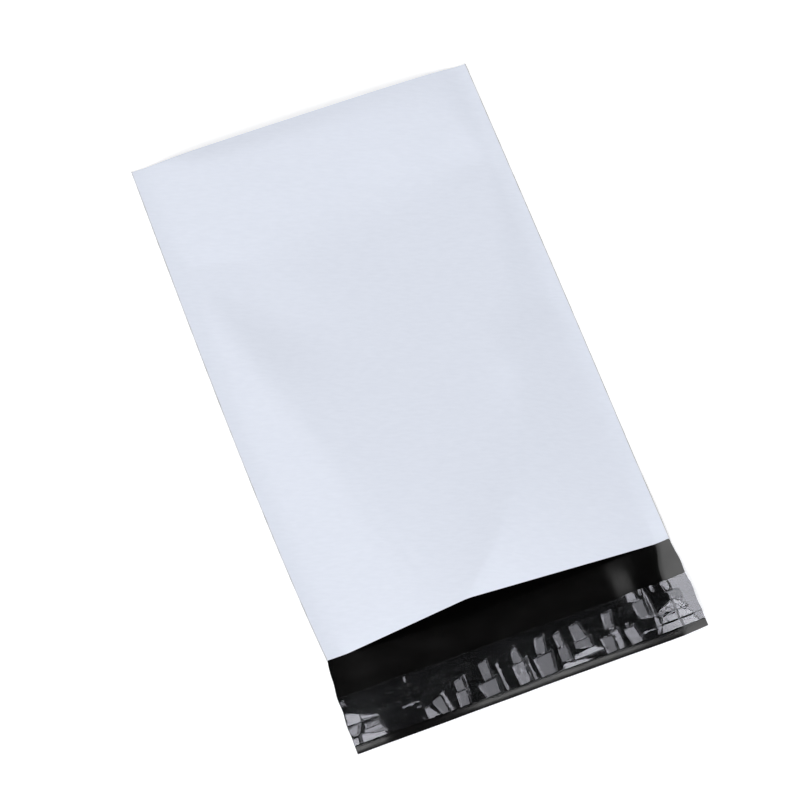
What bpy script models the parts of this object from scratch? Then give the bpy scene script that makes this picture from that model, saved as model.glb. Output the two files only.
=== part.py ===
"""Poly mailer bag: one folded sheet of film with two side welds and a closing lip, the glue band on
the lip, and the clear liner over the glue. Metres, +Z up.

The bag lies on its back panel. +Y runs from the lip to the closed end, +X runs across, and the
origin is on the floor under the middle of the whole bag. The mouth gapes in a low tent.
"""

import math

import bmesh
import bpy

# The bag, laid flat
BAG_WIDTH = 0.152
FRONT_LENGTH = 0.229
LIP_LENGTH = 0.040
FILM = 0.00006

# The welds and the fold: the bead's diameter and its tail past the fold, the distance between the
# two panels where they meet, and how far the bead holds the edges of the film off the floor
WELD_BEAD = 0.00050
WELD_TAIL = 0.00010
FOLD_ROLL = 0.00030
WELD_LIFT = 0.00009
WELD_CURL = 0.0013

# The outline, left side and right side. The gaping mouth draws the welds in, the left one most.
# They spring out again along the bag and, sooner, along the lip.
MOUTH_PULL = (0.0024, 0.0003)
PULL_REACH = 0.040
LIP_REACH = 0.014
SIDE_BOW = (0.0008, 0.0003)
LIP_BULGE = (0.0, 0.0009)

# The gape: a tent whose apex is on the mouth. The side facets lie nearly flat for the width of a
# strip along each weld and then rise. The middle one falls away from the mouth, where it also tilts.
MOUTH_RISE = 0.0146
APEX = -0.0130
LEFT_STRIP = 0.0070
RIGHT_STRIP = 0.0055
HINGE = 0.0025
LEFT_SLOPE_RATIO = 0.28
LEFT_FADE_RATIO = 0.10
RIGHT_SLOPE_RATIO = 0.172
RIGHT_GROWTH_RATIO = 0.80
GROWTH_REACH = 0.050
TENT_DEPTH = 0.176
DEPTH_SLOPE = 0.08
TENT_CURVE = 0.80
VALLEY = 0.005
RIDGE_ROUNDING = 0.0004
MIDDLE_TILT = 0.22
TILT_REACH = 0.045
TILT_DRIFT_RATIO = 0.27
MOUTH_DRAWN_BACK = 0.0012

# The air left in the bag, and the roll that it fills along the closed end
AIR_RISE = 0.0012
ROLL_RISE = 0.0026
ROLL_CREST = 0.223
ROLL_ARCH = 3
FOLD_SLOPE = 0.46

# Swells and dents in the front panel: the two ends of each one's spine, across and along from the
# middle of the mouth, then its height and half its width
SWELLS = (
    (0.010, 0.024, 0.046, 0.092, 0.00045, 0.005),
    (0.038, 0.076, 0.044, 0.104, 0.00080, 0.006),
    (-0.027, 0.091, -0.045, 0.161, -0.00160, 0.018),
    (-0.072, 0.175, -0.044, 0.171, -0.00080, 0.009),
    (0.047, 0.185, 0.073, 0.187, -0.00090, 0.008),
)
SWELL_MARGIN = 0.004
SWELL_START = 0.006

# Shallow waves across the lip
LIP_RIPPLE = 0.0003
RIPPLE_PITCH = 0.045
RIPPLE_BEAT = 0.118

# The glue band and its liner. The margins are measured from the lip's free edge.
LINER_WIDTH = 0.0205
LINER_MARGIN = 0.0035
LINER_FILM = 0.00005
GLUE_WIDTH = 0.0133
GLUE_MARGIN = 0.0068
GLUE_THICKNESS = 0.00010
SEAT_GAP = 0.00030

# The buckles across the liner: how far they stand up, how far apart they are, and how much their
# distance and their height vary along it
BUCKLE_RISE = 0.0012
BUCKLE_PITCH = 0.0080
BUCKLE_DRIFT = 0.0050
BUCKLE_LEAN = 0.0018
DRIFT_PITCH = 0.042
SIZE_PITCH = 0.023
SIZE_CHANGE_RATIO = 0.4

# Counts of mesh steps, and how much closer together they are towards an edge
COLUMNS = 26
LIP_ROWS = 8
BACK_ROWS = 14
FOLD_ROWS = 6
SHOULDER_ROWS = 5
SHOULDER_WIDTH = 0.012
FRONT_ROWS = 36
BEAD_STEPS = 30
LINER_COLUMNS = 84
LINER_ROWS = 4
GLUE_ROWS = 3
SIDE_CROWDING = 0.45
BACK_CROWDING = 1.25
SHOULDER_CROWDING = 1.4

WHOLE_LENGTH = FRONT_LENGTH + LIP_LENGTH
CLOSED_END = WHOLE_LENGTH / 2
LIP_EDGE = -WHOLE_LENGTH / 2
MOUTH = LIP_EDGE + LIP_LENGTH
FLAT_FRONT = FRONT_LENGTH - FILM / 2 - FOLD_ROLL / 2
TURN = 2 * math.pi


def clear_scene():
    for old in list(bpy.data.objects):
        bpy.data.objects.remove(old, do_unlink=True)


def collection(name):
    made = bpy.data.collections.new(name)
    bpy.context.scene.collection.children.link(made)
    return made


def plastic(name, color, roughness, alpha=1.0):
    made = bpy.data.materials.new(name)
    made.use_nodes = True
    shader = made.node_tree.nodes["Principled BSDF"]
    shader.inputs["Base Color"].default_value = (*color, 1.0)
    shader.inputs["Roughness"].default_value = roughness
    shader.inputs["Metallic"].default_value = 0.0
    shader.inputs["Alpha"].default_value = alpha
    return made


def smooth_step(t):
    """0 up to 0, 1 from 1 on, and an S curve between."""
    t = min(max(t, 0.0), 1.0)
    return t * t * (3 - 2 * t)


def soft_least(heights, rounding):
    """The least of some heights, with the ridges where they meet rounded off."""
    low = min(heights)
    return low - rounding * math.log(sum(math.exp((low - h) / rounding) for h in heights))


def sides(y):
    """The x of the left and the right weld line at a place along the bag."""
    from_mouth = abs(y - MOUTH)
    half = BAG_WIDTH / 2 - WELD_BEAD / 2
    reach = PULL_REACH if y > MOUTH else LIP_REACH
    length = FRONT_LENGTH if y > MOUTH else LIP_LENGTH
    swell = SIDE_BOW if y > MOUTH else LIP_BULGE
    faded = math.exp(-from_mouth / reach)
    arch = math.sin(math.pi * min(from_mouth / length, 1.0))
    left, right = (half - pull * faded + out * arch for pull, out in zip(MOUTH_PULL, swell))
    return -left, right


def weld_lift(x, y):
    """How far the weld holds the film's edges off the floor."""
    left, right = sides(y)
    inward = min(x - left, right - x)
    return WELD_LIFT * math.exp(-inward / WELD_CURL)


def hinge(distance, softness):
    """0 before a crease and the distance past it after, with the crease rounded."""
    return (distance + math.hypot(distance, softness)) / 2


def facet(inward, strip):
    """A facet that lies nearly flat beside the weld for the width of its strip, then rises straight."""
    return hinge(inward - strip, HINGE) - hinge(-strip, HINGE)


def swells(x, from_mouth):
    """The sum of soft oval swells and dents, which fade at the welds, the fold and the mouth."""
    total = 0.0
    for x_start, t_start, x_stop, t_stop, height, half_width in SWELLS:
        half_length = math.hypot(x_stop - x_start, t_stop - t_start) / 2
        ahead_x = (x_stop - x_start) / 2 / half_length
        ahead_t = (t_stop - t_start) / 2 / half_length
        dx, dt = x - (x_start + x_stop) / 2, from_mouth - (t_start + t_stop) / 2
        along = (dx * ahead_x + dt * ahead_t) / half_length
        aside = (dt * ahead_x - dx * ahead_t) / half_width
        total += height * math.exp(-(along**2) - aside**2)
    left, right = sides(MOUTH + from_mouth)
    inward = min(x - left, right - x, FRONT_LENGTH - from_mouth) / SWELL_MARGIN
    return total * (1 - math.exp(-(inward**2))) * (1 - math.exp(-from_mouth / SWELL_START))


def middle_facet(x, from_mouth):
    """The height of the middle facet, and of the roll of air at the closed end."""
    depth = TENT_DEPTH + DEPTH_SLOPE * x
    share = hinge(depth - from_mouth, VALLEY) / depth
    arch = 1 - abs(2 * x / BAG_WIDTH) ** ROLL_ARCH
    roll = ROLL_RISE * arch * smooth_step((from_mouth - depth) / (ROLL_CREST - depth))
    tilt = MIDDLE_TILT * math.exp(-from_mouth / TILT_REACH) * (x - APEX - TILT_DRIFT_RATIO * from_mouth)
    return AIR_RISE + roll + (MOUTH_RISE - AIR_RISE) * share**TENT_CURVE + tilt


def front_lift(x, from_mouth):
    """How high the front panel stands over the back panel, apart from the roll of the fold."""
    left, right = sides(MOUTH + from_mouth)
    fade = 1 - LEFT_FADE_RATIO * from_mouth / FRONT_LENGTH
    growth = 1 + RIGHT_GROWTH_RATIO * math.tanh(from_mouth / GROWTH_REACH)
    facets = [
        LEFT_SLOPE_RATIO * facet(x - left, LEFT_STRIP) * fade,
        RIGHT_SLOPE_RATIO * facet(right - x, RIGHT_STRIP) * growth,
        FOLD_SLOPE * (FLAT_FRONT - from_mouth),
        middle_facet(x, from_mouth),
    ]
    return max(soft_least(facets, RIDGE_ROUNDING), 0.0) + swells(x, from_mouth)


def lip_height(x, y):
    """The lip lies nearly flat, with shallow waves that run out from the mouth."""
    down_lip = (MOUTH - y) / LIP_LENGTH
    waves = math.sin(TURN * x / RIPPLE_PITCH) * math.cos(TURN * x / RIPPLE_BEAT)
    return LIP_RIPPLE * smooth_step(down_lip) * (1 + waves)


def back_point(across, y):
    """The middle of the film's thickness on the back panel and the lip."""
    left, right = sides(y)
    x = left + across * (right - left)
    z = FILM / 2 + weld_lift(x, y)
    if y < MOUTH:
        z += lip_height(x, y)
    return x, y, z


def fold_point(across, turned):
    """The middle of the film round the fold, from the back panel at 0 to the front panel at 1."""
    angle = math.pi * (turned - 0.5)
    radius = FOLD_ROLL / 2
    y = MOUTH + FLAT_FRONT + radius * (math.cos(angle) - 1) + radius
    left, right = sides(CLOSED_END)
    x = left + across * (right - left)
    return x, y, FILM / 2 + weld_lift(x, y) + radius + radius * math.sin(angle)


def front_point(across, from_mouth):
    """The middle of the film on the front panel, whose plan is drawn back where it stands up."""
    y = MOUTH + from_mouth
    left, right = sides(y)
    x = left + across * (right - left)
    at_mouth = front_lift(x, 0.0) / MOUTH_RISE
    drawn = MOUTH_DRAWN_BACK * at_mouth * (1 - smooth_step(from_mouth / FRONT_LENGTH))
    z = FILM / 2 + weld_lift(x, y) + FOLD_ROLL + front_lift(x, from_mouth)
    return x, y + drawn, z


def columns_across():
    """Stations across the film from 0 to 1, a little closer together towards the welds."""
    even = [i / COLUMNS for i in range(COLUMNS + 1)]
    return [e + SIDE_CROWDING * ((1 - math.cos(math.pi * e)) / 2 - e) for e in even]


def rows_along():
    """The rows of the sheet, from the lip's free edge round the fold to the front panel's edge."""
    rows = [("back", LIP_EDGE + LIP_LENGTH * i / LIP_ROWS) for i in range(LIP_ROWS)]
    rows += [("back", MOUTH + FLAT_FRONT * (i / BACK_ROWS) ** BACK_CROWDING) for i in range(BACK_ROWS)]
    rows += [("fold", i / FOLD_ROWS) for i in range(FOLD_ROWS)]
    for i in range(SHOULDER_ROWS):
        past_fold = SHOULDER_WIDTH * (i / SHOULDER_ROWS) ** SHOULDER_CROWDING
        rows.append(("front", FLAT_FRONT - past_fold))
    for i in range(FRONT_ROWS + 1):
        rows.append(("front", (FLAT_FRONT - SHOULDER_WIDTH) * (1 - i / FRONT_ROWS)))
    return rows


def sheet(name, columns, rows, place, thickness, material, into):
    """A grid mapped onto the surface that place(column, row) gives, then thickened evenly."""
    mesh = bpy.data.meshes.new(name)
    shape = bmesh.new()
    bmesh.ops.create_grid(shape, x_segments=columns, y_segments=rows, size=0.5)
    for vertex in shape.verts:
        column = round((vertex.co.x + 0.5) * columns)
        row = round((vertex.co.y + 0.5) * rows)
        vertex.co = place(column, row)
    bmesh.ops.triangulate(shape, faces=shape.faces)
    shape.to_mesh(mesh)
    shape.free()
    mesh.materials.append(material)
    mesh.shade_smooth()
    made = bpy.data.objects.new(name, mesh)
    into.objects.link(made)
    thick = made.modifiers.new("thickness", "SOLIDIFY")
    thick.thickness = thickness
    thick.offset = 0.0
    thick.use_even_offset = True
    return made


def closed_mesh(drawn):
    """A bevelled curve's mesh, with its caps welded on."""
    bpy.context.view_layer.update()
    graph = bpy.context.evaluated_depsgraph_get()
    mesh = bpy.data.meshes.new_from_object(drawn.evaluated_get(graph))
    shape = bmesh.new()
    shape.from_mesh(mesh)
    bmesh.ops.remove_doubles(shape, verts=shape.verts, dist=0.00001)
    bmesh.ops.recalc_face_normals(shape, faces=shape.faces)
    shape.to_mesh(mesh)
    shape.free()
    return mesh


def weld_bead(name, side, into):
    """The round bead that the hot knife leaves along one side, to be joined to the film."""
    curve = bpy.data.curves.new(name, "CURVE")
    curve.dimensions = "3D"
    curve.bevel_depth = WELD_BEAD / 2
    curve.bevel_resolution = 1
    curve.use_fill_caps = True
    stations = [MOUTH - WELD_BEAD / 2]
    stations += [MOUTH + FRONT_LENGTH * (i / BEAD_STEPS) ** BACK_CROWDING for i in range(1, BEAD_STEPS)]
    stations += [CLOSED_END + WELD_TAIL]
    line = curve.splines.new("POLY")
    line.points.add(len(stations) - 1)
    for point, y in zip(line.points, stations):
        point.co = (sides(y)[side], y, FILM / 2 + WELD_LIFT + FOLD_ROLL / 2, 1.0)
    drawn = bpy.data.objects.new(name + "_curve", curve)
    into.objects.link(drawn)
    bead = bpy.data.objects.new(name, closed_mesh(drawn))
    bead.matrix_world = drawn.matrix_world.copy()
    into.objects.link(bead)
    bpy.data.objects.remove(drawn, do_unlink=True)
    bead.hide_render = True
    bead.display_type = "WIRE"
    return bead


def make_bag_film(parts, cutters):
    """The sheet with its fold, thickened, with a weld bead joined on along each side."""
    across = columns_across()
    rows = rows_along()
    surfaces = {"back": back_point, "fold": fold_point, "front": front_point}

    def place(column, row):
        surface, where = rows[row]
        return surfaces[surface](across[column], where)

    film = plastic("white_over_black_film", (0.74, 0.77, 0.84), 0.45)
    bag = sheet("bag_film", COLUMNS, len(rows) - 1, place, FILM, film, parts)
    for side, name in enumerate(("left_weld", "right_weld")):
        join = bag.modifiers.new(name, "BOOLEAN")
        join.operation = "UNION"
        join.solver = "EXACT"
        join.object = weld_bead(name, side, cutters)


def make_adhesive_strip(parts):
    """The glue band, which follows the lip from side to side."""
    across = columns_across()

    def place(column, row):
        y = LIP_EDGE + GLUE_MARGIN + GLUE_WIDTH * row / GLUE_ROWS
        x, y, z = back_point(across[column], y)
        return x, y, z + FILM / 2 + SEAT_GAP + GLUE_THICKNESS / 2

    glue = plastic("tacky_glue", (0.045, 0.045, 0.05), 0.35)
    sheet("adhesive_strip", COLUMNS, GLUE_ROWS, place, GLUE_THICKNESS, glue, parts)


def buckle(x, down):
    """How far the liner stands off the glue: sharp buckles across it, uneven and leaning."""
    drift = BUCKLE_DRIFT * math.sin(TURN * x / DRIFT_PITCH) + BUCKLE_LEAN * down
    phase = (x + drift) / BUCKLE_PITCH
    wave = abs(2 * (phase - math.floor(phase)) - 1)
    change = math.sin(TURN * x / SIZE_PITCH) * math.cos(math.pi * down / 2)
    size = 1 - SIZE_CHANGE_RATIO * (1 - change)
    return BUCKLE_RISE * wave * size


def make_release_liner(parts):
    """The clear liner, buckled across its width, since it is a little longer than the lip is wide."""

    def place(column, row):
        down = row / LINER_ROWS
        y = LIP_EDGE + LINER_MARGIN + LINER_WIDTH * down
        x, y, z = back_point(column / LINER_COLUMNS, y)
        seat = z + FILM / 2 + 2 * SEAT_GAP + GLUE_THICKNESS + LINER_FILM / 2
        return x, y, seat + buckle(x, down)

    clear = plastic("clear_liner_film", (0.80, 0.82, 0.86), 0.12, alpha=0.3)
    sheet("release_liner", LINER_COLUMNS, LINER_ROWS, place, LINER_FILM, clear, parts)


def main():
    clear_scene()
    parts = collection("poly_mailer_bag")
    cutters = collection("weld_beads")
    make_bag_film(parts, cutters)
    make_adhesive_strip(parts)
    make_release_liner(parts)


main()
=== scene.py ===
"""The looks of a poly mailer bag: its white and black film, the glue band and the clear liner."""

import math

import bpy
import numpy as np
from mathutils import Matrix, Vector


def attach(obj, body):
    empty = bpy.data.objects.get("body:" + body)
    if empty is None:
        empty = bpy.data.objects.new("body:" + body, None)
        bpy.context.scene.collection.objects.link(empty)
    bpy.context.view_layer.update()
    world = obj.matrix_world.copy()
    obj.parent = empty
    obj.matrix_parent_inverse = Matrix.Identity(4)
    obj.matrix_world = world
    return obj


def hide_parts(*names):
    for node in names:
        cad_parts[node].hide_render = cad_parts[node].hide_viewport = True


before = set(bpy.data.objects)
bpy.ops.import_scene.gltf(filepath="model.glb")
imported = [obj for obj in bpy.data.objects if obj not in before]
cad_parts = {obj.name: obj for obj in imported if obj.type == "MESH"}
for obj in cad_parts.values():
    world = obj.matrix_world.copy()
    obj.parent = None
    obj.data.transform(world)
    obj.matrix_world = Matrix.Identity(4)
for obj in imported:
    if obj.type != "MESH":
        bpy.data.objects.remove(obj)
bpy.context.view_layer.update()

# The bag, laid flat, in metres
BAG_WIDTH = 0.152
FRONT_LENGTH = 0.229
LIP_LENGTH = 0.040
FILM = 0.00006
WELD_BEAD = 0.00050
FOLD_ROLL = 0.00030
WHOLE_LENGTH = FRONT_LENGTH + LIP_LENGTH
CLOSED_END = WHOLE_LENGTH / 2
LIP_EDGE = -WHOLE_LENGTH / 2
MOUTH = LIP_EDGE + LIP_LENGTH
FLAT_FRONT = FRONT_LENGTH - FILM / 2 - FOLD_ROLL / 2
TURN = 2 * math.pi

# The welds: how far they hold the film's edges off the floor, how fast that fades inward, and how far
# their beads run on past the fold
WELD_LIFT = 0.00009
WELD_CURL = 0.0013
WELD_TAIL = 0.00010

# The outline, left side and right side: how far the gape draws the sides in at the mouth, how fast
# that fades along the bag and along the lip, and how far they bow out. Then the wiggle of the lip's
# sides, and how far the free edge is cut askew on the left.
MOUTH_PULL = (0.0024, 0.0003)
PULL_REACH = 0.040
LIP_REACH = 0.014
SIDE_BOW = (0.0008, 0.0003)
LIP_BULGE = (0.0, 0.0003)
EDGE_WIGGLE = 0.00022
WIGGLE_PITCH = 0.0125
EDGE_SLANT = 0.00045

# The gape: a tent of three facets whose apex is on the mouth. The side facets lie nearly flat for
# the width of a strip along each weld before they rise. The left one fades along the bag and the
# right one grows steeper. The middle one comes down over the tent's depth, and tilts near the mouth.
# The hinge, the valley and the rounding say how soft the creases are. The mouth's edge is drawn back
# where it stands up.
MOUTH_RISE = 0.0146
APEX = -0.0130
LEFT_STRIP = 0.0070
RIGHT_STRIP = 0.0055
HINGE = 0.0025
LEFT_SLOPE = 0.28
LEFT_FADE_RATIO = 0.30
RIGHT_SLOPE = 0.172
RIGHT_GROWTH_RATIO = 0.72
GROWTH_REACH = 0.035
TENT_DEPTH = 0.176
DEPTH_SLOPE = 0.08
TENT_CURVE = 1.15
VALLEY = 0.005
RIDGE_ROUNDING = 0.0004
MIDDLE_TILT = 0.28
TILT_REACH = 0.033
TILT_DRIFT_RATIO = 0.27
MOUTH_DRAWN_BACK = 0.0012

# The air in the bag, and the roll of film along the closed end: how steeply it rises, how high the
# fold stands, how steeply the film comes down to it and how that slope changes from left to right.
# The roll and the fold come down to nothing at the welds, in an arch whose power keeps its top flat.
AIR_RISE = 0.0004
ROLL_SLOPE = 0.078
ROLL_BEND = 0.004
FOLD_RISE = 0.0029
FOLD_SLOPE = 0.14
FOLD_SLOPE_DRIFT = -1.1
ARCH_POWER = 4

# Swells and dents in the front panel, in millimetres: the two ends of each one's spine, across and
# along from the middle of the mouth, then its height and half its width. Then how fast they fade at
# the sides and at the mouth, and the most that a dent may take of the panel's height.
SWELLS = (
    (36, 80, 46, 108, 1.30, 6),
    (-30, 120, -54, 168, -1.50, 15),
    (-72, 175, -44, 171, -0.50, 9),
    (47, 185, 73, 187, -0.70, 8),
    (57, 114, 75, 118, -0.50, 8),
    (-9, 183, 29, 197, -0.30, 8),
    (-38, 204, -12, 196, 0.25, 7),
    (26, 198, 42, 198, 0.30, 6),
    (-21, 4, -40, 64, -0.15, 2.2),
)
SWELL_MARGIN = 0.004
SWELL_START = 0.006
DENT_SHARE = 0.9

# The lip's shallow waves
LIP_RIPPLE = 0.0003
RIPPLE_PITCH = 0.045
RIPPLE_BEAT = 0.118

# The creases of the lip's bent right end, each with the slope after it. The bends start on a line
# inside the bag and are whole a reach further down. Over the last stretch they fade to the free edge.
BENDS = ((0.0450, 0.16), (0.0562, -0.1829), (0.066, 0.0))
BEND_START = MOUTH + 0.020
BEND_REACH = 0.036
BEND_FADE = 0.032
BEND_SOFTNESS = 0.0016

# The raised right corner: its crease, how far that moves over beside the mouth and over what length,
# how steeply the corner rises, how far it reaches into the bag, and how soft the crease is
CORNER_CREASE = 0.0660
CORNER_SHIFT = 0.0035
SHIFT_REACH = 0.014
CORNER_SLOPE = 0.28
CORNER_REACH = 0.045
CORNER_SOFTNESS = 0.001

# The curl of the lip's free edge: how far from the edge it starts and stops, how soft it is, and its
# slope from place to place across the lip
CURL_WIDTH = 0.0040
CURL_STOP = 0.0003
CURL_SOFTNESS = 0.0005
CURL_PLACES = (-0.077, -0.064, -0.058, -0.046, -0.020, 0.012, 0.077)
CURL_SLOPES = (0.18, 0.17, 0.05, 0.07, 0.165, 0.17, 0.15)

# The glue band and the liner: their widths, how far from the lip's edge they start, their thickness
# and the play between one sheet and the next
LINER_WIDTH = 0.0205
LINER_MARGIN = 0.0035
LINER_FILM = 0.00005
GLUE_WIDTH = 0.0133
GLUE_MARGIN = 0.0068
GLUE_THICKNESS = 0.00010
SEAT_GAP = 0.00030

# How high the liner steps over the glue band, and how wide the slopes of the step are along the
# band's lower and upper side. The liner is pressed down at the right end, where the step is whole,
# and slack over the rest, which has only a share of it.
GLUE_STEP = 0.00008
LOWER_STEP_WIDTH = 0.0004
UPPER_STEP_WIDTH = 0.0012
GLUE_TAUT_SHARE = 0.2
GLUE_TAUT_FROM = 0.050
GLUE_TAUT_REACH = 0.008

# The crumpled lower left corner of the liner: its height, its right and upper limit and how wide they
# fade, and its triangle waves, each with its turn, pitch, shift and share of the height
CRUMPLE = 0.000008
CRUMPLE_RIGHT = -0.061
CRUMPLE_TOP = -0.117
CRUMPLE_FADE = 0.002
CRUMPLE_WAVES = (
    (0.35, 0.0031, 0.2, 1.0),
    (1.25, 0.0023, 0.6, 0.8),
    (2.35, 0.0027, 0.1, 0.7),
)

# The fine ripple all over the liner: its height, and the pitch across and along of its two waves
FINE_RIPPLE = 0.000004
FINE_PITCH = (0.0029, 0.0110)
CROSS_PITCH = (0.0170, -0.0043)
CROSS_SHIFT = 1.3

# The liner's panes, in millimetres across the lip and up from its free edge: the corners, from the
# lower left one round to the upper left one, then how steeply it rises to the right and up the lip.
# Round each pane the film falls back with one slope.
PANES = (
    (-75.8, 11.6, -69.2, 11.8, -69.2, 15.0, -75.6, 17.5, -0.09, -0.185),
    (-69.2, 12.6, -61.8, 11.7, -61.8, 12.2, -69.2, 14.8, -0.09, -0.185),
    (-68.8, 8.3, -62.3, 8.1, -62.7, 10.2, -68.4, 10.5, 0.13, 0.02),
    (-69.9, 6.3, -62.0, 6.2, -62.3, 8.1, -69.3, 8.3, 0.17, 0.0),
    (-72.4, 2.6, -61.1, 2.6, -62.5, 6.8, -71.6, 6.9, -0.04, -0.185),
    (-76.0, 2.6, -73.3, 2.6, -72.7, 6.2, -75.9, 6.4, -0.06, -0.175),
    (-76.0, 7.6, -72.6, 7.8, -71.0, 11.2, -75.8, 10.9, 0.22, 0.0),
    (-74.8, 19.9, -72.8, 20.2, -73.2, 22.0, -74.8, 22.4, 0.16, 0.0),
    (-47.6, 6.2, -44.9, 4.0, -44.6, 9.3, -47.2, 9.5, 0.06, 0.0),
    (-47.3, 20.8, -46.8, 20.8, -46.5, 23.0, -47.7, 23.0, 0.26, 0.0),
    (-51.6, 11.0, -44.9, 11.2, -44.9, 11.9, -51.6, 11.7, -0.03, -0.165),
    (-43.4, 2.6, -38.6, 2.6, -42.2, 8.0, -44.1, 7.8, 0.25, 0.0),
    (-37.0, 2.6, -34.6, 2.6, -35.8, 10.6, -40.4, 9.6, 0.09, 0.0),
    (-34.2, 2.6, -32.6, 2.6, -34.4, 11.8, -35.6, 11.8, 0.27, 0.0),
    (-30.0, 2.6, -26.0, 2.6, -25.4, 9.4, -29.5, 9.2, 0.17, 0.0),
    (-29.2, 10.0, -25.4, 10.0, -25.2, 14.4, -29.2, 14.2, 0.12, 0.0),
    (-24.6, 7.0, -24.0, 7.0, -23.8, 15.5, -24.4, 15.5, 0.24, 0.0),
    (-18.3, 2.6, -12.7, 2.6, -12.7, 9.6, -20.6, 9.2, 0.20, 0.0),
    (-17.2, 10.4, -13.6, 10.6, -13.6, 18.0, -17.6, 17.6, 0.14, 0.0),
    (-9.8, 2.6, -8.7, 2.6, -9.6, 15.6, -10.6, 15.4, 0.25, 0.0),
    (-3.9, 2.6, 0.2, 2.6, 0.4, 12.4, -4.5, 11.8, 0.17, 0.0),
    (0.3, 2.6, 0.9, 2.6, 1.0, 12.2, 0.4, 12.2, 1.10, 0.0),
    (-3.6, 12.8, 0.2, 12.8, -0.6, 19.4, -3.0, 17.0, 0.15, 0.0),
    (2.6, 2.6, 3.6, 2.6, 2.6, 13.8, 1.6, 13.8, 0.19, 0.0),
    (5.4, 2.6, 10.9, 2.6, 12.0, 11.8, 4.6, 11.6, 0.16, 0.0),
    (6.4, 13.0, 10.4, 12.8, 11.6, 19.6, 7.8, 19.0, 0.15, 0.0),
    (15.0, 6.4, 18.9, 6.6, 19.2, 12.2, 14.8, 12.0, 0.15, 0.0),
    (16.0, 12.8, 18.4, 12.8, 18.0, 18.6, 15.2, 18.0, 0.22, 0.0),
    (19.6, 5.4, 34.0, 5.8, 29.6, 8.6, 20.6, 7.2, 0.02, -0.18),
    (14.6, 2.6, 27.2, 2.6, 24.6, 4.9, 15.0, 5.6, 0.01, -0.175),
    (22.0, 9.6, 28.8, 9.4, 29.4, 12.4, 22.0, 12.4, 0.14, 0.0),
    (23.2, 13.0, 28.0, 13.2, 26.8, 19.6, 22.6, 19.2, 0.19, 0.0),
    (33.8, 2.6, 37.9, 2.6, 38.2, 9.6, 33.2, 10.4, 0.16, 0.0),
    (38.0, 2.6, 41.3, 2.6, 41.0, 11.6, 38.2, 11.2, 0.25, 0.0),
    (36.2, 13.2, 39.6, 13.0, 40.8, 19.4, 37.4, 19.6, 0.20, 0.0),
    (45.0, 2.6, 49.4, 2.6, 47.6, 10.6, 43.4, 10.4, 0.27, 0.0),
    (44.6, 11.0, 46.4, 11.2, 46.6, 12.6, 44.4, 12.4, 0.15, 0.0),
    (51.7, 12.9, 55.2, 12.4, 55.0, 19.4, 50.4, 19.3, 0.19, 0.0),
    (49.6, 20.5, 53.3, 20.6, 52.4, 24.6, 49.8, 24.6, 0.30, 0.0),
    (55.3, 21.8, 55.7, 21.8, 55.9, 24.6, 54.9, 24.6, 0.38, 0.0),
    (49.8, 6.0, 56.2, 6.2, 54.4, 7.4, 51.8, 7.3, 0.03, -0.185),
    (57.1, 12.5, 57.8, 12.5, 57.1, 24.6, 56.5, 24.6, 0.28, 0.0),
    (56.2, 2.6, 58.8, 6.9, 57.8, 12.5, 57.1, 12.5, 0.26, 0.0),
    (60.1, 21.3, 60.6, 21.3, 61.3, 24.6, 59.8, 24.6, 0.28, 0.0),
    (65.9, 19.4, 67.6, 20.4, 67.2, 24.6, 64.4, 24.6, 0.28, 0.0),
    (60.0, 10.6, 66.5, 10.8, 66.5, 15.7, 59.0, 12.7, 0.05, -0.147),
    (66.5, 10.8, 71.7, 10.8, 68.2, 15.7, 66.5, 15.7, 0.05, -0.147),
    (62.2, 6.9, 66.5, 6.9, 66.5, 10.5, 60.1, 10.4, 0.05, -0.18),
    (66.5, 6.9, 72.8, 6.9, 69.3, 10.6, 66.5, 10.5, 0.05, -0.18),
    (56.6, 2.6, 66.5, 2.6, 66.5, 10.5, 60.1, 10.4, 0.05, -0.165),
    (66.5, 2.6, 74.4, 2.6, 69.4, 10.5, 66.5, 10.5, 0.05, -0.165),
    (66.8, 15.8, 71.2, 13.6, 71.2, 19.4, 66.6, 19.4, 0.22, 0.0),
)
PANE_FALL = 1.1

# How finely the pieces are cut: stations across a sheet and how evenly they lie, then rows along each
# stretch of it. The front panel has a finer stretch beside the fold. Edges with more than the sharp
# corner's turn aren't shaded smooth.
STATIONS = 141
EVEN_SHARE = 0.75
LIP_ROWS = 49
BACK_ROWS = 37
FOLD_ROWS = 9
END_LENGTH = 0.012
END_ROWS = 17
FRONT_ROWS = 216
GLUE_ROWS = 15
LINER_ROWS = 98
LINER_STATIONS = 500
WELD_ROWS = 90
WELD_SIDES = 10
SHARP_CORNER = math.radians(50)

# Which way the streaks of the blown film run, in degrees
STREAK_TURN = -21

# The floor: how far it reaches each way, how far it lies under the bag, its points along each side,
# and how much brighter it looks than it is lit
FLOOR_REACH = 3.0
FLOOR_DROP = 0.0001
FLOOR_POINTS = 13
FLOOR_GLOW = 0.31

# The room: how high over the horizon its white ends and its dark begins, as the height of a unit
# vector, and how bright the dark is
ROOM_WHITE_END = 0.03
ROOM_DARK_START = 0.50
ROOM_DARK = 0.03

# The camera: where it stands round the bag and over it and how far it is turned, in degrees, what it
# aims at and from how far, and its focal length in widths of the picture
CAMERA_AZIMUTH = -28.351
CAMERA_ELEVATION = 69.0963
CAMERA_ROLL = 7.8637
CAMERA_TARGET = (-0.0059, -0.0001, 0.0)
CAMERA_DISTANCE = 1.3631
CAMERA_FOCUS = 4.125
SENSOR_WIDTH = 36.0


# Meshes


def smooth_step(t):
    """0 up to 0, 1 from 1 on, and an S curve between."""
    t = np.clip(t, 0.0, 1.0)
    return t * t * (3 - 2 * t)


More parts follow.
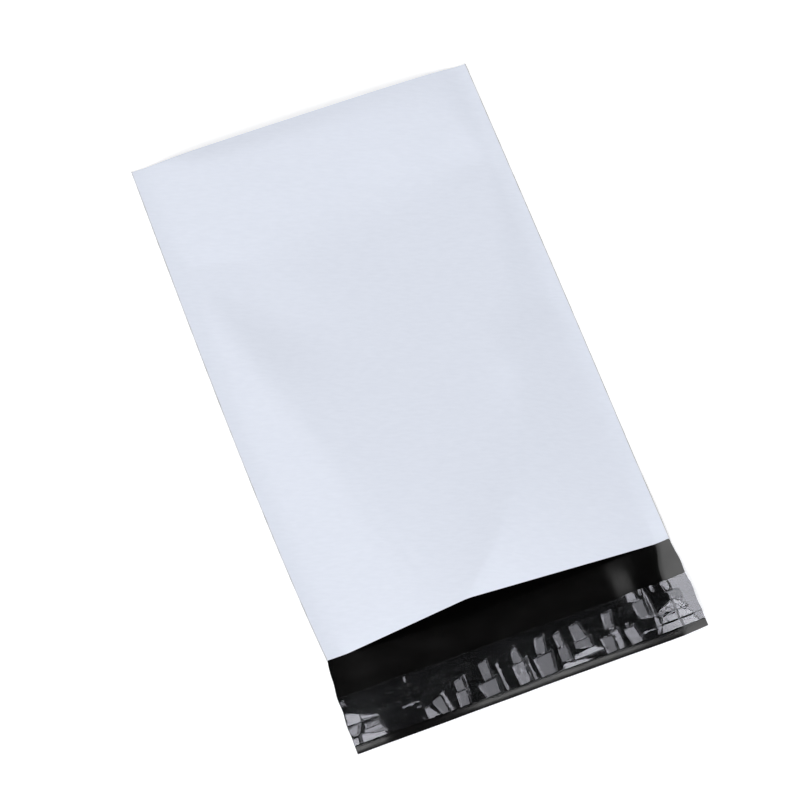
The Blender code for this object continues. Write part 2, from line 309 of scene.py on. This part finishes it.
def cells(rows, columns):
    """The numbers of a grid's points, and its four-sided faces, which face up."""
    at = np.arange(rows * columns).reshape(rows, columns)
    return at, np.stack([at[:-1, :-1], at[:-1, 1:], at[1:, 1:], at[1:, :-1]], axis=-1).reshape(-1, 4)


def thin_shell(name, middle, thickness, skins):
    """A closed shell: the surface through the grid of points, moved half its thickness each way
    along its normal, with a strip of faces round the edge. skins are the materials of the upper
    skin, the lower skin and the edge."""
    rows, columns = middle.shape[:2]
    along = np.gradient(middle, axis=0)
    across = np.gradient(middle, axis=1)
    normal = np.cross(across, along)
    normal /= np.linalg.norm(normal, axis=2, keepdims=True)
    upper = middle + normal * thickness / 2
    lower = middle - normal * thickness / 2
    points = np.concatenate([upper.reshape(-1, 3), lower.reshape(-1, 3)])

    at, quads = cells(rows, columns)
    ring = np.concatenate([at[0, :-1], at[:-1, -1], at[-1, :0:-1], at[:0:-1, 0]])
    follower = np.roll(ring, -1)
    half = rows * columns
    rim = np.stack([ring, ring + half, follower + half, follower], axis=-1)
    faces = np.concatenate([quads, quads[:, ::-1] + half, rim])
    kinds = np.repeat([0, 1, 2], [len(quads), len(quads), len(rim)])
    return add_mesh(name, points, faces, kinds, skins)


def add_mesh(name, points, faces, kinds, skins):
    """Puts whole arrays of points and four-sided faces into a mesh, each face with its material."""
    mesh = bpy.data.meshes.new(name)
    mesh.vertices.add(len(points))
    mesh.vertices.foreach_set("co", points.astype(np.float32).ravel())
    mesh.loops.add(faces.size)
    mesh.loops.foreach_set("vertex_index", faces.astype(np.int32).ravel())
    mesh.polygons.add(len(faces))
    mesh.polygons.foreach_set("loop_start", np.arange(0, faces.size, 4, dtype=np.int32))
    for skin in skins:
        mesh.materials.append(skin)
    mesh.polygons.foreach_set("material_index", np.asarray(kinds, dtype=np.int32))
    mesh.update(calc_edges=True)
    mesh.validate()
    mesh.shade_smooth()
    mesh.set_sharp_from_angle(angle=SHARP_CORNER)
    piece = bpy.data.objects.new(name, mesh)
    bpy.context.scene.collection.objects.link(piece)
    return piece


def stations(count):
    """A row of stations from 0 to 1, a little closer together towards both ends."""
    even = np.linspace(0, 1, count)
    return (EVEN_SHARE * even + (1 - EVEN_SHARE) * (1 - np.cos(math.pi * even)) / 2)[None, :]


def column(start, stop, count, crowding=1.0):
    """A column of places from start to stop. With a crowding over 1 they are closer together near the
    start."""
    return (start + (stop - start) * np.linspace(0, 1, count) ** crowding)[:, None]


# The film


def sides(y):
    """The x of the left and right weld lines: half the width, less a pull that fades both ways from
    the mouth, plus a slow arch along the bag and another along the lip, which wiggles a little."""
    from_mouth = np.abs(y - MOUTH)
    on_bag = y > MOUTH
    half = BAG_WIDTH / 2 - WELD_BEAD / 2
    faded = np.exp(-from_mouth / np.where(on_bag, PULL_REACH, LIP_REACH))
    length = np.where(on_bag, FRONT_LENGTH, LIP_LENGTH)
    arch = np.sin(math.pi * np.minimum(from_mouth / length, 1.0))
    wiggle = np.where(on_bag, 0.0, EDGE_WIGGLE * arch * np.sin(TURN * from_mouth / WIGGLE_PITCH))
    left = half - MOUTH_PULL[0] * faded + np.where(on_bag, SIDE_BOW[0], LIP_BULGE[0]) * arch + wiggle
    right = half - MOUTH_PULL[1] * faded + np.where(on_bag, SIDE_BOW[1], LIP_BULGE[1]) * arch - wiggle
    return -left, right


def weld_lift(x, y):
    """How far the weld holds the film's edges off the floor: it fades exponentially inward."""
    left, right = sides(y)
    return WELD_LIFT * np.exp(-np.minimum(x - left, right - x) / WELD_CURL)


def hinge(distance, softness):
    """0 before a crease and the distance past it after: half the sum of the distance and its
    hypotenuse with the softness."""
    return (distance + np.hypot(distance, softness)) / 2


def facet(inward, strip):
    """A facet that lies nearly flat beside the weld for the width of its strip, then rises straight."""
    return hinge(inward - strip, HINGE) - hinge(-strip, HINGE)


def swells(x, from_mouth):
    """The sum of soft oval swells and dents, each a Gaussian along and across its own spine, which
    fade at the welds, at the fold and at the mouth."""
    total = np.zeros(np.broadcast(x, from_mouth).shape)
    for x_start, t_start, x_stop, t_stop, height, half_width in SWELLS:
        half_length = math.hypot(x_stop - x_start, t_stop - t_start) / 2
        ahead_x = (x_stop - x_start) / 2 / half_length
        ahead_t = (t_stop - t_start) / 2 / half_length
        dx = x * 1000 - (x_start + x_stop) / 2
        dt = from_mouth * 1000 - (t_start + t_stop) / 2
        along = (dx * ahead_x + dt * ahead_t) / half_length
        aside = (dt * ahead_x - dx * ahead_t) / half_width
        total += height / 1000 * np.exp(-(along**2) - aside**2)
    left, right = sides(MOUTH + from_mouth)
    inward = np.minimum(np.minimum(x - left, right - x), FRONT_LENGTH - from_mouth) / SWELL_MARGIN
    return total * (1 - np.exp(-(inward**2))) * (1 - np.exp(-from_mouth / SWELL_START))


def side_arch(x):
    """1 in the middle of the bag and 0 at its welds, in a flat-topped arch."""
    return np.maximum(1 - (2 * x / BAG_WIDTH) ** ARCH_POWER, 0.0)


def front_lift(x, from_mouth):
    """How high the front panel stands over the back one: the least of four facets, which rise from
    the left weld, from the right weld, from the fold and towards the mouth, with the ridges between
    rounded, and the swells on top. No dent goes through the back panel."""
    left, right = sides(MOUTH + from_mouth)
    from_left = LEFT_SLOPE * facet(x - left, LEFT_STRIP) * (1 - LEFT_FADE_RATIO * from_mouth / FRONT_LENGTH)
    growth = 1 + RIGHT_GROWTH_RATIO * np.tanh(from_mouth / GROWTH_REACH)
    from_right = RIGHT_SLOPE * facet(right - x, RIGHT_STRIP) * growth
    from_fold = FOLD_RISE * side_arch(x) + (FOLD_SLOPE + FOLD_SLOPE_DRIFT * x) * (FLAT_FRONT - from_mouth)
    depth = TENT_DEPTH + DEPTH_SLOPE * x
    share = hinge(depth - from_mouth, VALLEY) / depth
    roll = ROLL_SLOPE * side_arch(x) * hinge(from_mouth - depth, ROLL_BEND)
    tilt = MIDDLE_TILT * np.exp(-from_mouth / TILT_REACH) * (x - APEX - TILT_DRIFT_RATIO * from_mouth)
    middle = AIR_RISE + roll + (MOUTH_RISE - AIR_RISE) * share**TENT_CURVE + tilt
    facets = (from_left, from_right, from_fold, middle)
    low = np.minimum.reduce(np.broadcast_arrays(*facets))
    total = sum(np.exp((low - h) / RIDGE_ROUNDING) for h in facets)
    lift = np.maximum(low - RIDGE_ROUNDING * np.log(total), 0.0)
    return lift + np.maximum(swells(x, from_mouth), -DENT_SHARE * lift)


def bends(x):
    """The lip's bent right end: from each crease on, its slope."""
    height, before = 0.0, 0.0
    for place, slope in BENDS:
        height = height + (slope - before) * hinge(x - place, BEND_SOFTNESS)
        before = slope
    return height


def corner_lift(x, y):
    """How high the bag's right corner beside the mouth stands off the floor: it rises evenly from its
    crease to the weld, all along the lip, and fades smoothly into the bag."""
    crease = CORNER_CREASE + CORNER_SHIFT * smooth_step((y - MOUTH) / SHIFT_REACH + 1)
    faded = 1 - smooth_step((y - MOUTH) / CORNER_REACH)
    return CORNER_SLOPE * hinge(x - crease, CORNER_SOFTNESS) * faded


def curl(x, from_edge):
    """How high the lip's free edge turns up: steadily from its start almost to the edge itself."""
    risen = hinge(CURL_WIDTH - from_edge, CURL_SOFTNESS) - hinge(CURL_STOP - from_edge, CURL_SOFTNESS)
    return np.interp(x, CURL_PLACES, CURL_SLOPES) * risen


def lip_height(x, y):
    """The lip's relief: shallow waves that grow from the mouth on, the slopes of its bent right end,
    which grow from inside the bag on and fade toward the free edge, and that edge's curl."""
    down = smooth_step((MOUTH - y) / LIP_LENGTH)
    waves = np.sin(TURN * x / RIPPLE_PITCH) * np.cos(TURN * x / RIPPLE_BEAT)
    from_edge = y - LIP_EDGE
    bent = bends(x) * smooth_step((BEND_START - y) / BEND_REACH) * smooth_step(from_edge / BEND_FADE)
    return LIP_RIPPLE * down * (1 + waves) + bent + curl(x, from_edge)


def back_surface(across, y):
    """The back panel and the lip, from weld to weld. The lip's free edge is cut askew on the left."""
    left, right = sides(y)
    x = left + across * (right - left)
    z = FILM / 2 + weld_lift(x, y) + corner_lift(x, y) + lip_height(x, y)
    askew = EDGE_SLANT * np.minimum(2 * across - 1, 0) * smooth_step((MOUTH - y) / LIP_LENGTH)
    return np.stack([x, y + askew, z], axis=-1)


def fold_surface(across, turned):
    """Half a turn round the fold, from the back panel to the front one."""
    angle = math.pi * (turned - 0.5)
    y = MOUTH + FLAT_FRONT + FOLD_ROLL / 2 * np.cos(angle)
    left, right = sides(np.full_like(y, CLOSED_END))
    x = left + across * (right - left)
    radius = (FOLD_ROLL + front_lift(x, FLAT_FRONT)) / 2
    z = FILM / 2 + weld_lift(x, y) + radius + radius * np.sin(angle)
    return np.stack([x, y + 0 * x, z], axis=-1)


def front_surface(across, from_mouth):
    """The front panel, its plan drawn back where it stands up at the mouth."""
    y = MOUTH + from_mouth
    left, right = sides(y)
    x = left + across * (right - left)
    at_mouth = front_lift(x, np.zeros_like(x)) / MOUTH_RISE
    drawn = MOUTH_DRAWN_BACK * at_mouth * (1 - smooth_step(from_mouth / FRONT_LENGTH))
    z = FILM / 2 + weld_lift(x, y) + corner_lift(x, y) + FOLD_ROLL + front_lift(x, from_mouth)
    return np.stack([x, y + drawn, z], axis=-1)


def make_film(white, black):
    """The one sheet of film, from the lip's free edge under the bag and round the fold to the mouth.
    Each stretch leaves its last row to the next."""
    across = stations(STATIONS)
    lip = back_surface(across, column(LIP_EDGE, MOUTH, LIP_ROWS)[:-1])
    back = back_surface(across, column(MOUTH, MOUTH + FLAT_FRONT, BACK_ROWS, crowding=1.2)[:-1])
    fold = fold_surface(across, column(0, 1, FOLD_ROWS)[:-1])
    end_start = FLAT_FRONT - END_LENGTH
    end = front_surface(across, column(FLAT_FRONT, end_start, END_ROWS, crowding=1.4)[:-1])
    front = front_surface(across, column(end_start, 0, FRONT_ROWS))
    middle = np.concatenate([lip, back, fold, end, front])
    film = thin_shell("mailer_film", middle, FILM, (black, white, white))
    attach(film, "root")
    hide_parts("bag_film")


def bead(name, centre, radius, skin):
    """A round bead along a path: a circle at each point, square to Y, and a flat cap at each end,
    whose faces run from its middle to three neighbours on the circle."""
    angle = np.linspace(0, TURN, WELD_SIDES, endpoint=False)
    ring = np.stack([np.cos(angle), 0 * angle, np.sin(angle)], axis=-1)
    points = (centre[:, None, :] + radius * ring).reshape(-1, 3)
    at = np.arange(len(points)).reshape(len(centre), WELD_SIDES)
    beside = np.roll(at, -1, axis=1)
    beyond = np.roll(at, -2, axis=1)
    quads = np.stack([at[:-1], at[1:], beside[1:], beside[:-1]], axis=-1).reshape(-1, 4)
    hub = np.full(WELD_SIDES // 2, len(points))
    start = np.stack([hub, at[0, ::2], beside[0, ::2], beyond[0, ::2]], axis=-1)
    stop = np.stack([hub + 1, beyond[-1, ::2], beside[-1, ::2], at[-1, ::2]], axis=-1)
    points = np.concatenate([points, centre[:1], centre[-1:]])
    faces = np.concatenate([quads, start, stop])
    return add_mesh(name, points, faces, np.zeros(len(faces)), (skin,))


def make_welds(melted):
    """The bead that the hot knife leaves along each side, from the mouth to the closed end."""
    y = np.linspace(MOUTH - WELD_BEAD / 2, CLOSED_END + WELD_TAIL, WELD_ROWS)
    for name, x in zip(("left_weld", "right_weld"), sides(y)):
        z = FILM / 2 + WELD_LIFT + FOLD_ROLL / 2 + corner_lift(x, y)
        weld = bead(name, np.stack([x, y, z], axis=-1), WELD_BEAD / 2, melted)
        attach(weld, "root")
        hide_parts("bag_film")


# The lip's glue band and liner


def lip_seat(across, y):
    """The lip's upper skin."""
    seat = back_surface(across, y)
    seat[..., 2] += FILM / 2
    return seat


def make_glue(glue):
    """The glue band: an even layer over the lip, from side to side."""
    lower = LIP_EDGE + GLUE_MARGIN
    middle = lip_seat(stations(STATIONS), column(lower, lower + GLUE_WIDTH, GLUE_ROWS))
    middle[..., 2] += SEAT_GAP + GLUE_THICKNESS / 2
    band = thin_shell("glue_band", middle, GLUE_THICKNESS, (glue, glue, glue))
    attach(band, "root")
    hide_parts("adhesive_strip")
    return band


def panes(x, up):
    """The liner's relief over the bent lip: each pane is a plane whose lowest corner is on its seat,
    and beyond each of its sides the film falls evenly back. Where two meet, the higher one is seen."""

    def bent(at, above):
        return bends(at) * smooth_step(above / BEND_FADE) + corner_lift(at, LIP_EDGE) + curl(at, above)

    height = np.zeros_like(x)
    under = bent(x, up)
    to_metres = [0.001] * 8 + [1, 1]
    for *places, right, rise in np.array(PANES) * to_metres:
        corners = np.array(places).reshape(4, 2)
        tops = corners @ (right, rise) - bent(corners[:, 0], corners[:, 1])
        lowest = tops.min()
        tops = tops - lowest
        pane = right * x + rise * up - under - lowest
        for here, there, low, high in zip(corners, np.roll(corners, -1, 0), tops, np.roll(tops, -1)):
            side = there - here
            length = np.hypot(*side)
            along = ((x - here[0]) * side[0] + (up - here[1]) * side[1]) / length**2
            inward = ((up - here[1]) * side[0] - (x - here[0]) * side[1]) / length
            pane = np.minimum(pane, low + (high - low) * along + PANE_FALL * inward)
        height = np.maximum(height, pane)
    return height


def crumple(x, y):
    """The liner's smallest relief: triangle waves in three directions in its lower left corner, and
    everywhere the product of two fainter sine waves."""
    corner = smooth_step((CRUMPLE_RIGHT - x) / CRUMPLE_FADE) * smooth_step((CRUMPLE_TOP - y) / CRUMPLE_FADE)
    rough = np.zeros_like(x)
    for turned, pitch, shift, share in CRUMPLE_WAVES:
        phase = (x * math.cos(turned) + y * math.sin(turned)) / pitch + shift
        rough += share * np.abs(2 * (phase - np.floor(phase)) - 1)
    fine = np.sin(TURN * (x / FINE_PITCH[0] + y / FINE_PITCH[1]))
    cross = np.sin(TURN * (x / CROSS_PITCH[0] + y / CROSS_PITCH[1]) + CROSS_SHIFT)
    return CRUMPLE * corner * rough + FINE_RIPPLE * fine * cross


def make_liner(clear, band):
    """The liner: clear film over the glue, buckled into panes."""
    up = column(LINER_MARGIN, LINER_MARGIN + LINER_WIDTH, LINER_ROWS)
    middle = lip_seat(np.linspace(0, 1, LINER_STATIONS)[None, :], LIP_EDGE + up)
    x = middle[..., 0]
    up = up + 0 * x
    past_lower = smooth_step((up - GLUE_MARGIN) / LOWER_STEP_WIDTH)
    past_upper = smooth_step((up - GLUE_MARGIN - GLUE_WIDTH) / UPPER_STEP_WIDTH)
    taut = GLUE_TAUT_SHARE + (1 - GLUE_TAUT_SHARE) * smooth_step((x - GLUE_TAUT_FROM) / GLUE_TAUT_REACH)
    step = GLUE_STEP * (past_lower - past_upper) * taut
    seat = 2 * SEAT_GAP + GLUE_THICKNESS + LINER_FILM / 2
    middle[..., 2] += seat + panes(x, up) + crumple(x, LIP_EDGE + up) + step
    liner = thin_shell("clear_liner", middle, LINER_FILM, (clear, clear, clear))
    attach(liner, "root")
    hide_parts("release_liner")


# Materials


def material(name):
    """A new material, its tree of nodes and its shader."""
    made = bpy.data.materials.new(name)
    made.use_nodes = True
    return made, made.node_tree, made.node_tree.nodes["Principled BSDF"]


def node(tree, kind, **values):
    """A node of a kind, with its settings and the values of its sockets."""
    made = tree.nodes.new(kind)
    for key, value in values.items():
        if key in made.inputs:
            made.inputs[key].default_value = value
        else:
            setattr(made, key, value)
    return made


def pattern(tree, size, turned=0.0, detail=3.0):
    """Noise in the bag's own coordinates, with the size of its grains in millimetres along each axis,
    turned by some degrees about Z."""
    where = tree.nodes.new("ShaderNodeTexCoord")
    place = tree.nodes.new("ShaderNodeMapping")
    place.vector_type = "TEXTURE"
    place.inputs["Rotation"].default_value = (0, 0, math.radians(turned))
    place.inputs["Scale"].default_value = [grain / 1000 for grain in size]
    noise = node(tree, "ShaderNodeTexNoise", Scale=1.0, Detail=detail)
    tree.links.new(where.outputs["Object"], place.inputs["Vector"])
    tree.links.new(place.outputs["Vector"], noise.inputs["Vector"])
    return noise.outputs["Fac"]


def between(tree, fac, low, high, dark, light):
    """Runs from one colour to another as the pattern runs from low to high."""
    shades = tree.nodes.new("ShaderNodeValToRGB")
    shades.color_ramp.elements[0].position = low
    shades.color_ramp.elements[1].position = high
    shades.color_ramp.elements[0].color = (*dark, 1)
    shades.color_ramp.elements[1].color = (*light, 1)
    tree.links.new(fac, shades.inputs["Fac"])
    return shades.outputs["Color"]


def spread(tree, fac, low, high):
    """Runs from one number to another as the pattern runs from 0.3 to 0.7."""
    span = node(tree, "ShaderNodeMapRange")
    span.inputs["From Min"].default_value = 0.3
    span.inputs["From Max"].default_value = 0.7
    span.inputs["To Min"].default_value = low
    span.inputs["To Max"].default_value = high
    tree.links.new(fac, span.inputs["Value"])
    return span.outputs["Result"]


def bump(tree, shader, fac, depth):
    """A relief of the given depth in metres on the shader's normal, over any that is there."""
    relief = node(tree, "ShaderNodeBump", Strength=1.0, Distance=depth)
    tree.links.new(fac, relief.inputs["Height"])
    for link in list(shader.inputs["Normal"].links):
        tree.links.new(link.from_socket, relief.inputs["Normal"])
    tree.links.new(relief.outputs["Normal"], shader.inputs["Normal"])


def white_film():
    """The bag's outside: white film with the fine streaks that blowing leaves, and a painted glint along
    them.
    """
    made, tree, shader = material("white_film")
    shader.inputs["Specular IOR Level"].default_value = 0.3
    streaks = pattern(tree, (4.2, 1.05, 4.0), turned=STREAK_TURN)
    clouds = pattern(tree, (25, 17, 25))
    # Painted glint: the tone is a little lighter along the streaks, standing in for light caught by their
    # micro-wrinkles. The bump below is their real relief.
    tone = between(tree, streaks, 0.3, 0.7, (0.730, 0.770, 0.865), (0.756, 0.796, 0.891))
    tree.links.new(tone, shader.inputs["Base Color"])
    tree.links.new(spread(tree, clouds, 0.48, 0.58), shader.inputs["Roughness"])
    bump(tree, shader, streaks, 0.00005)
    return made


def weld_film():
    """The bead of the welds: white and black film melted together, unevenly, so it is a patchy grey."""
    made, tree, shader = material("weld_film")
    shader.inputs["Specular IOR Level"].default_value = 0.3
    shader.inputs["Roughness"].default_value = 0.5
    patches = pattern(tree, (2, 7, 2))
    tone = between(tree, patches, 0.35, 0.65, (0.46, 0.46, 0.47), (0.68, 0.69, 0.74))
    tree.links.new(tone, shader.inputs["Base Color"])
    return made


def black_film():
    """The bag's inside: black film, smoother than the white one."""
    made, tree, shader = material("black_film")
    shader.inputs["Specular IOR Level"].default_value = 0.45
    streaks = pattern(tree, (3.3, 1.1, 3.3), turned=STREAK_TURN, detail=4)
    clouds = pattern(tree, (11, 7, 11), detail=4)
    tone = between(tree, streaks, 0.3, 0.7, (0.0008, 0.0008, 0.0009), (0.0022, 0.0021, 0.0020))
    tree.links.new(tone, shader.inputs["Base Color"])
    tree.links.new(spread(tree, clouds, 0.14, 0.20), shader.inputs["Roughness"])
    bump(tree, shader, clouds, 0.00005)
    bump(tree, shader, streaks, 0.0000015)
    return made


def glue_film():
    """Tacky glue over black film: dark, a little green, with small blotches in its gloss."""
    made, tree, shader = material("tacky_glue")
    blotches = pattern(tree, (2, 2, 2))
    tone = between(tree, blotches, 0.35, 0.65, (0.0014, 0.0016, 0.0018), (0.0036, 0.0040, 0.0040))
    tree.links.new(tone, shader.inputs["Base Color"])
    tree.links.new(spread(tree, blotches, 0.18, 0.3), shader.inputs["Roughness"])
    bump(tree, shader, blotches, 0.00001)
    return made


def clear_film():
    """The liner: clear glossy film with faint lengthwise drawing marks."""
    made, tree, shader = material("clear_liner_film")
    shader.inputs["Base Color"].default_value = (0.93, 0.94, 0.97, 1)
    shader.inputs["Transmission Weight"].default_value = 1.0
    shader.inputs["IOR"].default_value = 1.58
    shader.inputs["Specular Tint"].default_value = (0.92, 0.92, 1.0, 1)
    marks = pattern(tree, (8.3, 1.4, 3.3))
    tree.links.new(spread(tree, marks, 0.05, 0.11), shader.inputs["Roughness"])
    bump(tree, shader, marks, 0.000006)
    return made


# The floor, the light and the camera


def make_floor():
    """A wide pale floor just under the bag. The camera sees it a little lighter than it is lit, and so
    do reflections and the clear film. It keeps the bag's shadow."""
    ticks = np.linspace(-FLOOR_REACH, FLOOR_REACH, FLOOR_POINTS)
    y, x = np.meshgrid(ticks, ticks, indexing="ij")
    points = np.stack([x, y, np.full_like(x, -FLOOR_DROP)], axis=-1).reshape(-1, 3)
    quads = cells(FLOOR_POINTS, FLOOR_POINTS)[1]
    made, tree, shader = material("pale_floor")
    tree.nodes.remove(shader)
    lit = node(tree, "ShaderNodeBsdfDiffuse", Color=(0.9, 0.9, 0.9, 1))
    glow = node(tree, "ShaderNodeEmission", Color=(1, 1, 1, 1))
    path = tree.nodes.new("ShaderNodeLightPath")
    seen = path.outputs["Is Camera Ray"]
    for ray in ("Is Glossy Ray", "Is Transmission Ray"):
        either = node(tree, "ShaderNodeMath", operation="ADD", use_clamp=True)
        tree.links.new(seen, either.inputs[0])
        tree.links.new(path.outputs[ray], either.inputs[1])
        seen = either.outputs[0]
    share = node(tree, "ShaderNodeMath", operation="MULTIPLY")
    share.inputs[1].default_value = FLOOR_GLOW
    both = tree.nodes.new("ShaderNodeAddShader")
    tree.links.new(seen, share.inputs[0])
    tree.links.new(share.outputs[0], glow.inputs["Strength"])
    tree.links.new(lit.outputs[0], both.inputs[0])
    tree.links.new(glow.outputs[0], both.inputs[1])
    tree.links.new(both.outputs[0], tree.nodes["Material Output"].inputs["Surface"])
    floor = add_mesh("floor", points, quads, np.zeros(len(quads)), (made,))


def softbox(name, towards, distance, width, height, radiance):
    """A flat lamp in some direction from the bag, which it faces, its width along X where it can be.
    A lamp's power is its radiance times pi times its area."""
    lamp = bpy.data.lights.new(name, "AREA")
    lamp.shape = "RECTANGLE"
    lamp.size, lamp.size_y = width, height
    lamp.energy = radiance * math.pi * width * height
    made = bpy.data.objects.new(name, lamp)
    away = Vector(towards).normalized()
    wide = (Vector((1, 0, 0)) - away.x * away).normalized()
    turn = Matrix([wide, away.cross(wide), away]).transposed()
    made.matrix_world = Matrix.LocRotScale(away * distance, turn, None)
    made.visible_camera = False
    bpy.context.scene.collection.objects.link(made)


def make_lights():
    """Soft boxes high on the left, past the closed end, in front and low on the right, and a room
    that is dark overhead and white at the horizon."""
    softbox("left_box", (-0.38, 0.25, 0.89), 3.0, 2.4, 2.4, 1.62)
    softbox("left_core", (-0.38, 0.25, 0.89), 2.9, 1.0, 1.4, 1.7)
    softbox("end_lamp", (0.19, 0.53, 0.83), 3.0, 1.0, 0.48, 4.8)
    softbox("end_box", (0.10, 0.85, 0.52), 2.2, 2.2, 0.5, 1.4)
    softbox("front_box", (-0.28, -0.80, 0.53), 5.0, 5.0, 3.4, 3.75)
    softbox("right_box", (0.80, -0.35, 0.49), 1.0, 0.5, 0.5, 2.3)
    world = bpy.data.worlds.new("room")
    world.use_nodes = True
    bpy.context.scene.world = world
    tree = world.node_tree
    where = tree.nodes.new("ShaderNodeTexCoord")
    parts = tree.nodes.new("ShaderNodeSeparateXYZ")
    fade = tree.nodes.new("ShaderNodeMapRange")
    fade.interpolation_type = "SMOOTHSTEP"
    fade.inputs["From Min"].default_value = ROOM_WHITE_END
    fade.inputs["From Max"].default_value = ROOM_DARK_START
    fade.inputs["To Min"].default_value = 1.0
    fade.inputs["To Max"].default_value = ROOM_DARK
    tree.links.new(where.outputs["Generated"], parts.inputs[0])
    tree.links.new(parts.outputs["Z"], fade.inputs["Value"])
    tree.links.new(fade.outputs["Result"], tree.nodes["Background"].inputs["Strength"])
    tree.nodes["Background"].inputs["Color"].default_value = (1, 1, 1, 1)


def make_camera():
    """The photograph's view: nearly from above, over the lip's left corner, turned a little."""
    azimuth = math.radians(CAMERA_AZIMUTH)
    elevation = math.radians(CAMERA_ELEVATION)
    roll = math.radians(CAMERA_ROLL)
    flat = math.cos(elevation)
    back = Vector((math.sin(azimuth) * flat, -math.cos(azimuth) * flat, math.sin(elevation)))
    right = Vector((math.cos(azimuth), math.sin(azimuth), 0.0))
    up = back.cross(right)
    turned_right = math.cos(roll) * right + math.sin(roll) * up
    turned_up = math.cos(roll) * up - math.sin(roll) * right
    lens = bpy.data.cameras.new("camera")
    lens.sensor_width = SENSOR_WIDTH
    lens.lens = CAMERA_FOCUS * SENSOR_WIDTH
    camera = bpy.data.objects.new("camera", lens)
    stand = Vector(CAMERA_TARGET) + back * CAMERA_DISTANCE
    turn = Matrix([turned_right, turned_up, back]).transposed()
    camera.matrix_world = Matrix.LocRotScale(stand, turn, None)
    bpy.context.scene.collection.objects.link(camera)
    bpy.context.scene.camera = camera


white, black = white_film(), black_film()
make_film(white, black)
make_welds(weld_film())
make_liner(clear_film(), make_glue(glue_film()))
make_floor()
make_lights()
make_camera()
bpy.context.scene.view_settings.view_transform = "Standard"
